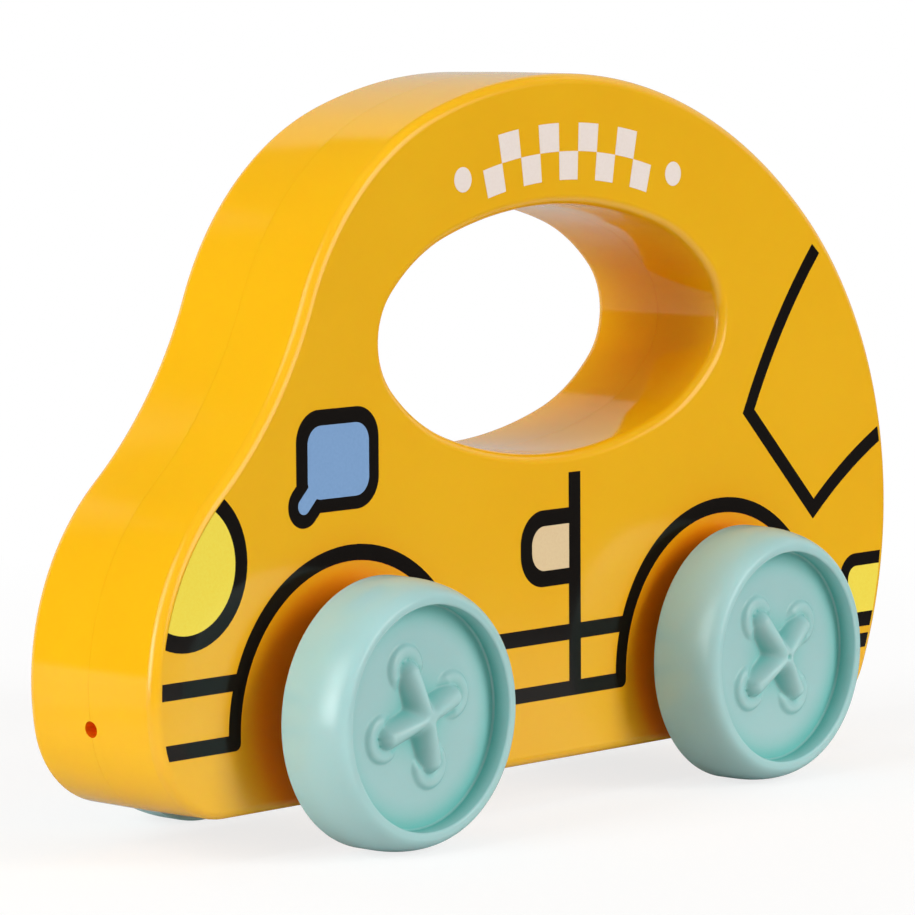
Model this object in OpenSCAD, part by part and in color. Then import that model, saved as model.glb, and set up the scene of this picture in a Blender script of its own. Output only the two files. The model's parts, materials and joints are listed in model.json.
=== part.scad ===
// Toddler's push-along taxi: two hollow half shells with a grab hole through them,
// two steel axles and four wheels shaped like sewn-on buttons.
// Millimetres, +Z up, nose towards -X, origin on the ground below the middle of the car.

/* [Body outline] */
// Thickness of the body across both half shells
body_w = 23.8; // [18:0.1:36]
// Height of the roof above the underside
roof_h = 94.8; // [84:0.1:106]
// Distance of the roof's highest point behind the front axle
roof_back = 43.5; // [38:0.1:50]
// Radius of the roof
roof_r = 77.6; // [72:0.1:84]
// Radius of the rear
rear_r = 59.7; // [54:0.1:64]
// Angle, from the horizontal, at which the roof turns into the rear
rear_turn = 46.2; // [40:0.1:52]
// Radius between roof and windscreen
brow_r = 42.2; // [36:0.1:50]
// Angle, from the horizontal, at which the roof turns into the brow
brow_turn = 109; // [102:0.5:116]
// Radius of the hollow between windscreen and bonnet
hollow_r = 59; // [48:0.5:75]
// Radius of the nose and bonnet
nose_r = 34.2; // [30:0.1:38]
// Height of the nose's foremost point above the underside
nose_up = 16.9; // [14:0.1:20]
// Reach of the nose in front of the front axle
nose_reach = 35.6; // [32:0.1:40]
// Radius of the corner under the nose
nose_corner_r = 13.1; // [9:0.1:15]
// Radius of the corner under the rear
rear_corner_r = 9.5; // [7:0.1:13]
// Rounding of the edge round each side face
edge_r = 1.5; // [0.8:0.1:1.9]

/* [Shell] */
// Wall thickness of the half shells
wall = 2; // [1.6:0.1:2.6]
// Chamfer that leaves the parting line open on the outside
seam_groove = 0.2; // [0.1:0.05:0.4]
// Diameter of the vent in the nose, on the parting line
vent_d = 2.2; // [1.5:0.1:3]
// Thickness of the ribs between the tunnel and the outer wall
rib_t = 1.6; // [1.2:0.1:2]
// Distance of the ribs from the parting line
rib_set_back = 2; // [1:0.5:5]

/* [Grab hole] */
// Length of the hole
hole_l = 69.8; // [60:0.1:76]
// Height of the hole
hole_h = 33.9; // [28:0.1:38]
// Distance of the hole's middle behind the front axle
hole_back = 42; // [38:0.1:46]
// Height of the hole's middle above the underside
hole_up = 59.8; // [56:0.1:63]

/* [Locating posts] */
// Diameter of the posts that meet on the parting line
post_d = 6.4; // [5.5:0.1:8]
// Diameter of the pin on each left post
pin_d = 3; // [2.4:0.1:3.6]
// Length of the pin
pin_l = 4; // [3:0.5:6]
// Clearance round the pin
pin_fit = 0.05; // [0.02:0.01:0.1]
// Room left behind the pin in its socket
pin_room = 0.5; // [0.3:0.1:1]
// Distance of the posts from the outside of the body
post_inset = 9; // [8:0.5:11]

/* [Axles] */
// Distance between the axles
wheelbase = 75.6; // [70:0.1:82]
// Height of the axles above the underside
axle_up = 12.2; // [11:0.1:14]
// Axle diameter
axle_d = 4; // [3:0.1:5]
// Clearance round the axle in its bearing tube
axle_fit = 0.05; // [0.03:0.01:0.1]
// Wall of the bearing tubes
tube_wall = 2.5; // [1.8:0.1:3]
// Chamfer on the axle ends
axle_chamfer = 0.5; // [0.3:0.1:0.8]
// Side play that the front axle has taken up towards the left
front_play = 0.8; // [0:0.1:0.8]
// Side play that the rear axle has taken up towards the right
rear_play = 0.8; // [0:0.1:0.8]

/* [Wheels] */
// Wheel diameter
wheel_d = 36; // [32:0.2:40]
// Wheel width
wheel_w = 10.1; // [9:0.1:13]
// Diameter of the recess in the face
recess_d = 29.7; // [26:0.1:31]
// Depth of the recess
recess = 3; // [2:0.1:3.6]
// Flat land round the recess
land = 0.7; // [0.4:0.1:1.2]
// Width of the tread that is rounded off towards the face
crown_w = 7; // [5:0.1:8]
// Thickness of the wheel's web
web = 2.2; // [1.8:0.1:2.6]
// Thickness of the rim at the open back
rim = 2.2; // [1.8:0.1:2.6]
// Wall of the hub round the axle
hub_wall = 2.5; // [1.8:0.1:3.5]
// Reach of the hub out of the wheel's back
hub_reach = 3.2; // [2:0.1:3.2]
// Distance from the wheel's back to the body's side
side_gap = 4.35; // [4.35:0.05:7]
// Depth of the blind bore's end behind the recess floor
bore_floor = 1.4; // [1:0.1:1.8]
// Number of ribs behind the web
wheel_ribs = 6; // [4:1:8]

/* [Sewn cross on the wheels] */
// Diameter of the circle through the four thread holes
stitch_d = 15.2; // [13:0.2:18]
// Diameter of the raised ring round each thread hole, along its crest
ring_d = 3.9; // [3:0.1:4.6]
// Thickness of the ring's bead
ring_bead = 1.2; // [0.8:0.1:1.5]
// Thickness of the thread where it leaves its hole
thread_d = 3; // [2.4:0.1:3.4]
// Thickness of the thread at the crossing
thread_tip = 1.4; // [1:0.1:1.8]
// Height of the crossing above the recess floor
cross_h = 3.2; // [2.4:0.1:3.6]
// Turn of the cross on the front wheels
front_cross_turn = 18.5; // [0:0.5:90]
// Turn of the cross on the rear wheels
rear_cross_turn = 36; // [0:0.5:90]

/* [Hidden] */
$fn = 96;

taxi_yellow = "#F2B61D";
button_mint = "#9CCBC8";
axle_steel = "#B9BCC0";

over = 1;                       // reach of a cutter past the face that it cuts
half = body_w / 2;
underside = wheel_d / 2 - axle_up;
axle_z = wheel_d / 2;

// Circles of the outline, measured from the front axle along X and from the ground along Z
roof_c = [roof_back, underside + roof_h - roof_r];
rear_c = roof_c + (roof_r - rear_r) * dir(rear_turn);
brow_c = roof_c + (roof_r - brow_r) * dir(brow_turn);
nose_c = [nose_r - nose_reach, underside + nose_up];
hollow_c = outer_tangent(nose_c, nose_r + hollow_r, brow_c, brow_r + hollow_r);
nose_corner_c = [
    nose_c.x - leg(nose_r - nose_corner_r, nose_up - nose_corner_r), underside + nose_corner_r
];
rear_corner_c = [
    rear_c.x + leg(rear_r - rear_corner_r, rear_c.y - underside - rear_corner_r),
    underside + rear_corner_r
];

// Angles at which one circle of the outline runs into the next
nose_corner_end = 360 + bearing(nose_corner_c - nose_c);
nose_end = bearing(hollow_c - nose_c);
hollow_start = bearing(nose_c - hollow_c);
hollow_end = bearing(brow_c - hollow_c);
brow_start = bearing(hollow_c - brow_c);
rear_end = bearing(rear_corner_c - rear_c);

// The outline's arcs: middle, radius, first and last angle, and 1 where the body lies inside the
// circle or -1 where it lies outside
OUTLINE = [
    [nose_corner_c, nose_corner_r, nose_corner_end, 270, 1],
    [nose_c, nose_r, nose_end, nose_corner_end, 1],
    [hollow_c, hollow_r, hollow_start, hollow_end, -1],
    [brow_c, brow_r, brow_turn, brow_start, 1],
    [roof_c, roof_r, rear_turn, brow_turn, 1],
    [rear_c, rear_r, rear_end, rear_turn, 1],
    [rear_corner_c, rear_corner_r, -90, rear_end, 1]
];

// The grab hole is an ellipse, drawn with arcs of three radii that follow it within a tenth of a
// millimetre: each radius is a share of the ellipse's own at the ends, the sides and in between
end_share = 1.12;
side_share = 0.925;
shoulder_share = 1.08;
hole_c = [hole_back, underside + hole_up];
hole_end_r = end_share * pow(hole_h / 2, 2) / (hole_l / 2);
hole_side_r = side_share * pow(hole_l / 2, 2) / (hole_h / 2);
hole_shoulder_r = shoulder_share * sqrt(hole_end_r * hole_side_r);
hole_end = [hole_l / 2 - hole_end_r, 0];
hole_side = [0, hole_side_r - hole_h / 2];
hole_shoulder = outer_tangent(
    -hole_side, hole_side_r - hole_shoulder_r, hole_end, hole_shoulder_r - hole_end_r
);
end_turn = bearing(hole_end - hole_shoulder);
side_turn = bearing(hole_shoulder + hole_side);
HOLE = [
    [hole_c + hole_end, hole_end_r, -end_turn, end_turn, -1],
    [hole_c + hole_shoulder, hole_shoulder_r, end_turn, side_turn, -1],
    [hole_c - hole_side, hole_side_r, side_turn, 180 - side_turn, -1],
    [hole_c + flip(hole_shoulder), hole_shoulder_r, 180 - side_turn, 180 - end_turn, -1],
    [hole_c - hole_end, hole_end_r, 180 - end_turn, 180 + end_turn, -1],
    [hole_c - hole_shoulder, hole_shoulder_r, 180 + end_turn, 180 + side_turn, -1],
    [hole_c + hole_side, hole_side_r, 180 + side_turn, 360 - side_turn, -1],
    [hole_c - flip(hole_shoulder), hole_shoulder_r, 360 - side_turn, 360 - end_turn, -1]
];

// Depth of the swept border inside the outline: the core stays this far clear of the rounded edge
edge_room = 6;
border = edge_r + edge_room;
// Neighbouring pieces of the border overlap this far past the point where their curves meet, and
// every other one lies a hair further in, so that they end in a clear-cut step
joint_lap = 0.1;
joint_step = 0.01;
front_axle_x = 0;
rear_axle_x = wheelbase;
tube_d = axle_d + 2 * axle_fit + 2 * tube_wall;
socket_d = pin_d + 2 * pin_fit;
mouth_room = 2;                 // how far the ring round the hole reaches past the tunnel's wall
mouth = wall + mouth_room;      // width of the ring, which carries the rounded edge
mouth_lap = (mouth + edge_r) / 2;         // the ring and the side wall overlap outside this

// Posts on the parting line: nose, brow, roof and rear, each at an angle on its circle, and two along
// the underside
nose_post = 165;
brow_post = 168;
roof_post = 78;
rear_post = 10;
POSTS = [
    nose_c + (nose_r - post_inset) * dir(nose_post),
    brow_c + (brow_r - post_inset) * dir(brow_post),
    roof_c + (roof_r - post_inset) * dir(roof_post),
    rear_c + (rear_r - post_inset) * dir(rear_post),
    [wheelbase / 3, underside + post_inset],
    [wheelbase * 2 / 3, underside + post_inset]
];

knot_share = 1.05;              // thickness of the knot at the crossing, as a share of the thread's
hub_d = axle_d + 2 * hub_wall;
hub_l = wheel_w + hub_reach - recess;
face_y = half + side_gap + wheel_w;       // recess lip from the middle of the car
bore_end = recess + bore_floor;
axle_l = 2 * (face_y - bore_end);
crown_r = wheel_d / 2 - recess_d / 2 - land;
nose_x = nose_c.x - nose_r;
rear_x = rear_c.x + rear_r;
car_mid = (nose_x + rear_x) / 2;

function dir(a) = [cos(a), sin(a)];
function bearing(v) = atan2(v.y, v.x);
function flip(v) = [-v.x, v.y];
function arc_angle(length, r) = length / r * 180 / PI;
function leg(long_side, short_side) = sqrt(pow(long_side, 2) - pow(short_side, 2));

// Point at distance ra from a and rb from b, on the left of the way from a to b
function outer_tangent(a, ra, b, rb) =
    let (
        way = b - a,
        span = norm(way),
        along = (ra * ra - rb * rb + span * span) / (2 * span)
    )
    a + way / span * along + [-way.y, way.x] / span * leg(ra, along);

// Point on an arc's radius, at the given depth inside the body
function arc_point(arc, angle, depth) = arc[0] + (arc[1] - arc[4] * depth) * dir(angle);

// Section of the border on a circle that the body lies inside of, from its middle to its outer
// radius: the parting line's chamfer at the bottom and the rounded edge on top. An odd section lies
// a step inside the even one next to it.
module convex_section(outer, height, rounding, groove, odd) {
    step = odd * joint_step;
    r = outer - step;
    top = height - (rounding > 0 ? step : 0);
    difference() {
        polygon([[0, 0], [r - groove, 0], [r, groove], [r, top], [0, top]]);
        if (rounding > 0) {
            translate([outer - rounding, height - rounding])
                difference() {
                    square(rounding + over);
                    circle(rounding - step);
                }
        }
    }
}

// The same section on a circle that the body lies outside of, from its inner radius outwards
module concave_section(inner, depth, height, rounding, groove, odd) {
    translate([inner + depth, 0])
        mirror([1, 0])
            convex_section(depth, height, rounding, groove, odd);
}

// One arc of a border, at an inset from the arc, cut off square to it a little past both ends
module border_arc(arc, odd, inset, depth, height, rounding, groove) {
    r = arc[1] - arc[4] * inset;
    small = arc[1] - (arc[4] > 0 ? border : over);
    big = arc[1] + (arc[4] > 0 ? over : border);
    first = arc[2] - arc_angle(joint_lap, arc[1]);
    last = arc[3] + arc_angle(joint_lap, arc[1]);
    middle = (first + last) / 2;
    intersection() {
        translate(arc[0])
            rotate_extrude() {
                if (arc[4] > 0) {
                    convex_section(r, height, rounding, groove, odd);
                } else {
                    concave_section(r, depth, height, rounding, groove, odd);
                }
            }
        translate([0, 0, -over])
            linear_extrude(height + 2 * over)
                polygon([
                    arc[0] + small * dir(first),
                    arc[0] + big * dir(first),
                    arc[0] + big / cos(middle - first) * dir(middle),
                    arc[0] + big * dir(last),
                    arc[0] + small * dir(last)
                ]);
    }
}

// Slab with the body's outline, inset all round, from the parting plane to the given height
module slab(inset, height, rounding, groove) {
    for (i = [0 : len(OUTLINE) - 1]) {
        border_arc(OUTLINE[i], i % 2, inset, 2 * border, height, rounding, groove);
    }
    translate([rear_corner_c.x + joint_lap, underside + border, 0])
        rotate([90, 0, -90])
            linear_extrude(rear_corner_c.x - nose_corner_c.x + 2 * joint_lap)
                convex_section(border - inset, height, rounding, groove, 1);
    core = border - over;
    linear_extrude(height)
        polygon([
            [nose_corner_c.x, underside + core],
            arc_point(OUTLINE[1], nose_corner_end, core),
            arc_point(OUTLINE[1], nose_end, core),
            arc_point(OUTLINE[3], brow_start, core),
            arc_point(OUTLINE[4], brow_turn, core),
            arc_point(OUTLINE[4], rear_turn, core),
            arc_point(OUTLINE[5], rear_end, core),
            [rear_corner_c.x, underside + core]
        ]);
}

// What two circles of radius r share: one lies at the given place from the hole's middle, the other
// across the hole's long axis from it
module lens(place, r) {
    intersection() {
        translate(place)
            circle(r);
        translate([place.x, -place.y])
            circle(r);
    }
}

// Plug with the hole's shape, grown all round by the given distance. The wider arcs lie a hair
// further out, so that each ends in a clear-cut step.
module plug(grow, height) {
    end_r = hole_end_r + grow;
    shoulder_r = hole_shoulder_r + grow + joint_step;
    side_r = hole_side_r + grow + 2 * joint_step;
    tall = hole_h + 2 * grow + over;
    translate(hole_c)
        linear_extrude(height) {
            intersection() {
                lens(hole_side, side_r);
                square([2 * side_r * cos(side_turn), tall], center = true);
            }
            for (side = [-1, 1]) {
                intersection() {
                    lens([side * hole_shoulder.x, hole_shoulder.y], shoulder_r);
                    square([2 * (hole_end.x + end_r * cos(end_turn)), tall], center = true);
                }
                translate(side * hole_end)
                    circle(end_r);
            }
        }
}

// Rib from one point to another, standing on the side wall
module rib(from, to) {
    way = to - from;
    translate([from.x, from.y, rib_set_back])
        rotate([0, 0, bearing(way)])
            translate([0, -rib_t / 2, 0])
                cube([norm(way), rib_t, half - rib_set_back - wall / 2]);
}

// Ribs that tie the tunnel to the outer wall, ending in the middle of both walls
module tunnel_ribs() {
    mid = wall / 2;
    rib([roof_c.x, hole_c.y + hole_h / 2 + mid], [roof_c.x, underside + roof_h - mid]);
    rib([hole_c.x, underside + mid], [hole_c.x, hole_c.y - hole_h / 2 - mid]);
    rib(hole_c + [hole_l / 2 + mid, 0], [rear_c.x + leg(rear_r - mid, hole_c.y - rear_c.y), hole_c.y]);
}

// Hollow half of the body, with the parting plane at the bottom and the side face on top
module hollow_half() {
    difference() {
        union() {
            difference() {
                slab(0, half, edge_r, seam_groove);
                translate([0, 0, -over])
                    plug(mouth_lap, half + 2 * over);
            }
            for (i = [0 : len(HOLE) - 1]) {
                border_arc(HOLE[i], i % 2, 0, mouth, half - joint_step, edge_r, seam_groove);
            }
        }
        difference() {
            translate([0, 0, -over])
                slab(wall, half - wall + over, 0, 0);
            translate([0, 0, -2 * over])
                plug(wall, half + 4 * over);
        }
    }
}

// One half shell, with its ribs, bearing tubes and posts
module half_shell() {
    difference() {
        union() {
            hollow_half();
            tunnel_ribs();
            for (x = [front_axle_x, rear_axle_x]) {
                translate([x, axle_z, 0])
                    cylinder(d = tube_d, h = half - wall / 2);
            }
            for (place = POSTS) {
                translate(place)
                    cylinder(d = post_d, h = half - wall / 2);
            }
        }
        for (x = [front_axle_x, rear_axle_x]) {
            translate([x, axle_z, -over])
                cylinder(d = axle_d + 2 * axle_fit, h = half + 2 * over);
        }
        translate([nose_x - over, axle_z, 0])
            rotate([0, 90, 0])
                cylinder(d = vent_d, h = wall + 2 * over);
    }
}

// Stands a half shell on its edge, side face towards the car's left
module upright() {
    translate([-car_mid, 0, 0])
        rotate([90, 0, 0])
            children();
}

// Left half, with the pins
module left_shell() {
    color(taxi_yellow)
        upright() {
            half_shell();
            for (place = POSTS) {
                translate([place.x, place.y, -pin_l])
                    cylinder(d = pin_d, h = pin_l + wall);
            }
        }
}

// Right half, with the sockets
module right_shell() {
    color(taxi_yellow)
        mirror([0, 1, 0])
            upright()
                difference() {
                    half_shell();
                    for (place = POSTS) {
                        translate([place.x, place.y, -over])
                            cylinder(d = socket_d, h = over + pin_l + pin_room);
                    }
                }
}

// Axle along Y, chamfered at both ends
module axle(x, shift) {
    straight = axle_l / 2 - axle_chamfer;
    color(axle_steel)
        translate([x - car_mid, shift, axle_z])
            rotate([90, 0, 0])
                rotate_extrude()
                    polygon([
                        [0, -axle_l / 2],
                        [axle_d / 2 - axle_chamfer, -axle_l / 2],
                        [axle_d / 2, -straight],
                        [axle_d / 2, straight],
                        [axle_d / 2 - axle_chamfer, axle_l / 2],
                        [0, axle_l / 2]
                    ]);
}

module front_axle() {
    axle(front_axle_x, -front_play);
}

module rear_axle() {
    axle(rear_axle_x, rear_play);
}

// Half section of a wheel: face at the bottom, open back with the hub on top
module wheel_section() {
    lip_r = recess_d / 2;
    steps = 10;
    crown = [
        for (i = [0 : steps])
            let (a = 90 * i / steps)
            [lip_r + land + crown_r * sin(a), crown_w * (1 - cos(a))]
    ];
    polygon(concat(
        [[0, recess], [lip_r, recess], [lip_r, 0]],
        crown,
        [
            [wheel_d / 2, wheel_w],
            [wheel_d / 2 - rim, wheel_w],
            [wheel_d / 2 - rim, crown_w],
            [lip_r - web, recess + web],
            [hub_d / 2, recess + web],
            [hub_d / 2, recess + hub_l],
            [0, recess + hub_l]
        ]
    ));
}

// Raised bead round each thread hole, and the thread that climbs from it to the crossing
module sewn_cross() {
    climb = cross_h - thread_tip / 2;
    start = stitch_d / 2;
    for (quarter = [0 : 3]) {
        rotate([0, 0, 90 * quarter]) {
            translate([start, 0, 0])
                rotate_extrude()
                    translate([ring_d / 2, 0])
                        circle(d = ring_bead);
            translate([start, 0, 0])
                rotate([0, -atan2(start, climb), 0])
                    cylinder(d1 = thread_d, d2 = thread_tip, h = norm([start, climb]));
        }
    }
    translate([0, 0, climb])
        sphere(d = knot_share * thread_tip);
}

// A wheel with its face towards -Z and the lip of its recess in the plane z = 0
module wheel(turn) {
    rib_reach = wheel_d / 2 - rim / 2;
    difference() {
        union() {
            rotate_extrude()
                wheel_section();
            for (i = [0 : wheel_ribs - 1]) {
                rotate([0, 0, 360 * i / wheel_ribs])
                    translate([hub_d / 2 - over, -rib_t / 2, recess + web / 2])
                        cube([rib_reach - hub_d / 2 + over, rib_t, wheel_w - recess - web]);
            }
            intersection() {
                translate([0, 0, recess])
                    rotate([180, 0, -turn])
                        sewn_cross();
                translate([0, 0, recess + web / 2 - cross_h - web])
                    cylinder(r = recess_d / 2 - over, h = cross_h + web);
            }
        }
        translate([0, 0, bore_end])
            cylinder(d = axle_d, h = hub_l + over);
    }
}

// Puts a wheel on an axle's end: side is -1 on the left and 1 on the right
module fit_wheel(x, shift, side, turn) {
    color(button_mint)
        translate([x - car_mid, shift + side * face_y, axle_z])
            rotate([0, 0, side < 0 ? 0 : 180])
                rotate([-90, 0, 0])
                    wheel(turn);
}

module front_left_wheel() {
    fit_wheel(front_axle_x, -front_play, -1, front_cross_turn);
}

module front_right_wheel() {
    fit_wheel(front_axle_x, -front_play, 1, front_cross_turn);
}

module rear_left_wheel() {
    fit_wheel(rear_axle_x, rear_play, -1, rear_cross_turn);
}

module rear_right_wheel() {
    fit_wheel(rear_axle_x, rear_play, 1, rear_cross_turn);
}

left_shell();
right_shell();
front_axle();
rear_axle();
front_left_wheel();
front_right_wheel();
rear_left_wheel();
rear_right_wheel();
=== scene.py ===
import json
import math

import bpy
from mathutils import Matrix, Vector

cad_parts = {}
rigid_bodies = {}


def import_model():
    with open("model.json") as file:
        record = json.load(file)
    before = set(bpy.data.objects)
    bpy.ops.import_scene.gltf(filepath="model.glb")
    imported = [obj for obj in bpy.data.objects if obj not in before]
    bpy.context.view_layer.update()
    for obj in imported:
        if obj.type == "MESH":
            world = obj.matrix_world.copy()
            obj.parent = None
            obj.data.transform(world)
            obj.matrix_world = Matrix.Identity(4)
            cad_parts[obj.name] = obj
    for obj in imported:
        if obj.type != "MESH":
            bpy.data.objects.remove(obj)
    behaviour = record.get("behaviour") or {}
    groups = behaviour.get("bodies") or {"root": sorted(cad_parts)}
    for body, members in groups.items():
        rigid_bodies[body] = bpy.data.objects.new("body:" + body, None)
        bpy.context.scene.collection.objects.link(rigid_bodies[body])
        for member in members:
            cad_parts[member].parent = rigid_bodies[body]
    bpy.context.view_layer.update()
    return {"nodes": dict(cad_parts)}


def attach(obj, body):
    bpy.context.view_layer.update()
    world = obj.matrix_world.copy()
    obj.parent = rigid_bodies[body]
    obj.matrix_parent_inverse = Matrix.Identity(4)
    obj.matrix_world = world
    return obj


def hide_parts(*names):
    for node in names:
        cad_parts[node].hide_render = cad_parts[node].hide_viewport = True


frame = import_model()

MM = 0.001

# Sizes of the body, in millimetres, in the car's frame: nose to -X, photographed side to -Y
HALF = 11.9                 # from the parting plane to a side face
EDGE = 1.5                  # rounding round each side face
DRAFT = 0.09                # taper of the band from the parting line to the rounding
SEAM = 0.022                # half width and depth of the parting line's groove
UNDERSIDE = 5.82
AXLE_Z = 18.0
AXLE_X = {"front": -39.995, "rear": 35.605}
AXLE_SHIFT = {"front": -0.8, "rear": 0.8}    # each wheelset stands at one end of its side play
AXLE_HOLE_R = 2.05
VENT_R, VENT_DEPTH = 1.1, 3.5
WHEEL_FACE = 26.35          # lip of the wheels' recess from the middle of the car

# How finely the curves are drawn, and how cutters and welds are set
CHORD = 1.3                 # longest chord of a swept curve
STEP_TURN = 6               # largest turn of one step, in degrees
EDGE_STEPS, CROWN_STEPS, ROD_STEPS, WHEEL_STEPS = 9, 18, 40, 240
CLEAR = 1.0                 # how far a cutter reaches past what it cuts
WELD = 0.002                # points closer than this become one
SAME = 0.001                # heights closer than this are the same


# Geometry of the outline: circles that run into each other
def polar(centre, radius, angle):
    a = math.radians(angle)
    return centre[0] + radius * math.cos(a), centre[1] + radius * math.sin(a)


def bearing(a, b):
    return math.degrees(math.atan2(b[1] - a[1], b[0] - a[0]))


def leg(long_side, short_side):
    return math.sqrt(long_side ** 2 - short_side ** 2)


def tangent_centre(a, ra, b, rb):
    """Point at distance ra from a and rb from b, on the left of the way from a to b"""
    way = Vector(b) - Vector(a)
    along = (ra ** 2 - rb ** 2 + way.length_squared) / (2 * way.length)
    way.normalize()
    return tuple(Vector(a) + way * along + Vector((-way.y, way.x)) * leg(ra, along))


ROOF_C, ROOF_R = (3.505, 23.0), 77.58
REAR_R, REAR_TURN = 59.7, 46.2
BROW_R, BROW_TURN = 42.2, 109.0
HOLLOW_R = 59.0
NOSE_C, NOSE_R = (-41.395, 22.7), 34.17
NOSE_CORNER_R, REAR_CORNER_R = 13.1, 9.5
REAR_C = polar(ROOF_C, ROOF_R - REAR_R, REAR_TURN)
BROW_C = polar(ROOF_C, ROOF_R - BROW_R, BROW_TURN)
HOLLOW_C = tangent_centre(NOSE_C, NOSE_R + HOLLOW_R, BROW_C, BROW_R + HOLLOW_R)
NOSE_CORNER_C = (
    NOSE_C[0] - leg(NOSE_R - NOSE_CORNER_R, NOSE_C[1] - UNDERSIDE - NOSE_CORNER_R),
    UNDERSIDE + NOSE_CORNER_R)
REAR_CORNER_C = (
    REAR_C[0] + leg(REAR_R - REAR_CORNER_R, REAR_C[1] - UNDERSIDE - REAR_CORNER_R),
    UNDERSIDE + REAR_CORNER_R)
rear_end = bearing(REAR_C, REAR_CORNER_C)
brow_end = bearing(BROW_C, HOLLOW_C)
nose_start = bearing(NOSE_C, HOLLOW_C)
nose_end = 360 + bearing(NOSE_C, NOSE_CORNER_C)

# Each arc: middle, radius and the angle it turns through, from the rear corner round to the nose
OUTLINE = [
    (REAR_CORNER_C, REAR_CORNER_R, rear_end + 90),
    (REAR_C, REAR_R, REAR_TURN - rear_end),
    (ROOF_C, ROOF_R, BROW_TURN - REAR_TURN),
    (BROW_C, BROW_R, brow_end - BROW_TURN),
    (HOLLOW_C, HOLLOW_R, nose_start - brow_end),
    (NOSE_C, NOSE_R, nose_end - nose_start),
    (NOSE_CORNER_C, NOSE_CORNER_R, 270 - nose_end),
]

# The grab hole is an ellipse, drawn with arcs of three radii. The factors fit the arcs to the ellipse
HOLE_C, HOLE_L, HOLE_H = (2.005, 65.6), 69.8, 33.9
HOLE_END_R = 1.12 * (HOLE_H / 2) ** 2 / (HOLE_L / 2)
HOLE_SIDE_R = 0.925 * (HOLE_L / 2) ** 2 / (HOLE_H / 2)
HOLE_SHOULDER_R = 1.08 * math.sqrt(HOLE_END_R * HOLE_SIDE_R)
end_c, side_c = (HOLE_L / 2 - HOLE_END_R, 0), (0, HOLE_H / 2 - HOLE_SIDE_R)
shoulder_c = tangent_centre(side_c, HOLE_SIDE_R - HOLE_SHOULDER_R, end_c, HOLE_SHOULDER_R - HOLE_END_R)
end_turn, side_turn = bearing(shoulder_c, end_c), bearing(side_c, shoulder_c)
HOLE = []
for half_turn in (1, -1):
    for centre, radius, angle in (
            (end_c, HOLE_END_R, 2 * end_turn),
            (shoulder_c, HOLE_SHOULDER_R, side_turn - end_turn),
            (side_c, HOLE_SIDE_R, 180 - 2 * side_turn),
            ((-shoulder_c[0], shoulder_c[1]), HOLE_SHOULDER_R, side_turn - end_turn)):
        middle = (HOLE_C[0] + half_turn * centre[0], HOLE_C[1] + half_turn * centre[1])
        HOLE.append((middle, radius, angle))


# Drawing with a pen: a single vertex that is dragged along lines and spun along arcs
def new_piece(name):
    """An empty mesh object in edit mode"""
    bpy.ops.object.select_all(action="DESELECT")
    bpy.ops.mesh.primitive_plane_add(size=MM)
    piece = bpy.context.object
    piece.name = piece.data.name = name
    bpy.ops.object.mode_set(mode="EDIT")
    bpy.ops.mesh.select_mode(type="VERT")
    bpy.ops.mesh.select_all(action="SELECT")
    bpy.ops.mesh.delete(type="VERT")
    return piece


def pen(*points):
    """Starts a chain through points (x, y, z) in mm and leaves the whole chain selected"""
    bpy.ops.mesh.select_all(action="DESELECT")
    bpy.ops.mesh.primitive_plane_add(size=MM)
    bpy.ops.mesh.merge(type="CENTER")
    bpy.ops.transform.translate(value=Vector(points[0]) * MM)
    for a, b in zip(points, points[1:]):
        drag(Vector(b) - Vector(a))
    bpy.ops.mesh.select_linked()


def drag(by):
    """Extrudes what is selected by a vector in mm"""
    bpy.ops.mesh.extrude_region_move(TRANSFORM_OT_translate={"value": Vector(by) * MM})


def swing(centre, radius, angle):
    """Spins what is selected about a line along Y through centre, from +X towards +Z"""
    by_chord = math.ceil(math.radians(abs(angle)) * radius / CHORD)
    by_turn = math.ceil(abs(angle) / STEP_TURN)
    bpy.ops.mesh.spin(
        steps=max(3, by_chord, by_turn), angle=math.radians(angle),
        center=(centre[0] * MM, 0, centre[1] * MM), axis=(0, 1, 0))


def weld():
    bpy.ops.mesh.select_all(action="SELECT")
    bpy.ops.mesh.remove_doubles(threshold=WELD * MM)
    bpy.ops.mesh.normals_make_consistent(inside=False)


def pick(piece, test):
    """Selects the vertices whose place in mm passes the test"""
    bpy.ops.mesh.select_all(action="DESELECT")
    bpy.ops.object.mode_set(mode="OBJECT")
    for vertex in piece.data.vertices:
        vertex.select = test(*(vertex.co / MM))
    bpy.ops.object.mode_set(mode="EDIT")
    bpy.ops.mesh.select_mode(type="VERT")


def cap(piece, y):
    """Fills the flat face between the loops that lie at y"""
    pick(piece, lambda vx, vy, vz: abs(vy - y) < SAME)
    bpy.ops.mesh.fill()


def only(piece):
    """Makes a piece the only one selected, and the active one"""
    bpy.ops.object.select_all(action="DESELECT")
    bpy.context.view_layer.objects.active = piece
    piece.select_set(True)


def apply_modifier(piece, kind, **settings):
    only(piece)
    modifier = piece.modifiers.new(kind.title(), kind)
    for name, value in settings.items():
        setattr(modifier, name, value)
    bpy.ops.object.modifier_apply(modifier=modifier.name)


def cut(piece, tool, how="DIFFERENCE", overlapping=False):
    """Boolean with a tool that is used up"""
    apply_modifier(piece, "BOOLEAN", object=tool, operation=how, solver="EXACT", use_self=overlapping)
    bpy.data.objects.remove(tool)


def soften(piece, angle):
    """Smooth shading with flat faces kept flat"""
    only(piece)
    bpy.ops.object.shade_smooth_by_angle(angle=math.radians(angle))
    apply_modifier(piece, "WEIGHTED_NORMAL", keep_sharp=True, weight=80)


def twin(piece, name):
    """Copy with a mesh of its own"""
    copy = piece.copy()
    copy.data = piece.data.copy()
    copy.name = copy.data.name = name
    bpy.context.scene.collection.objects.link(copy)
    return copy


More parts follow.
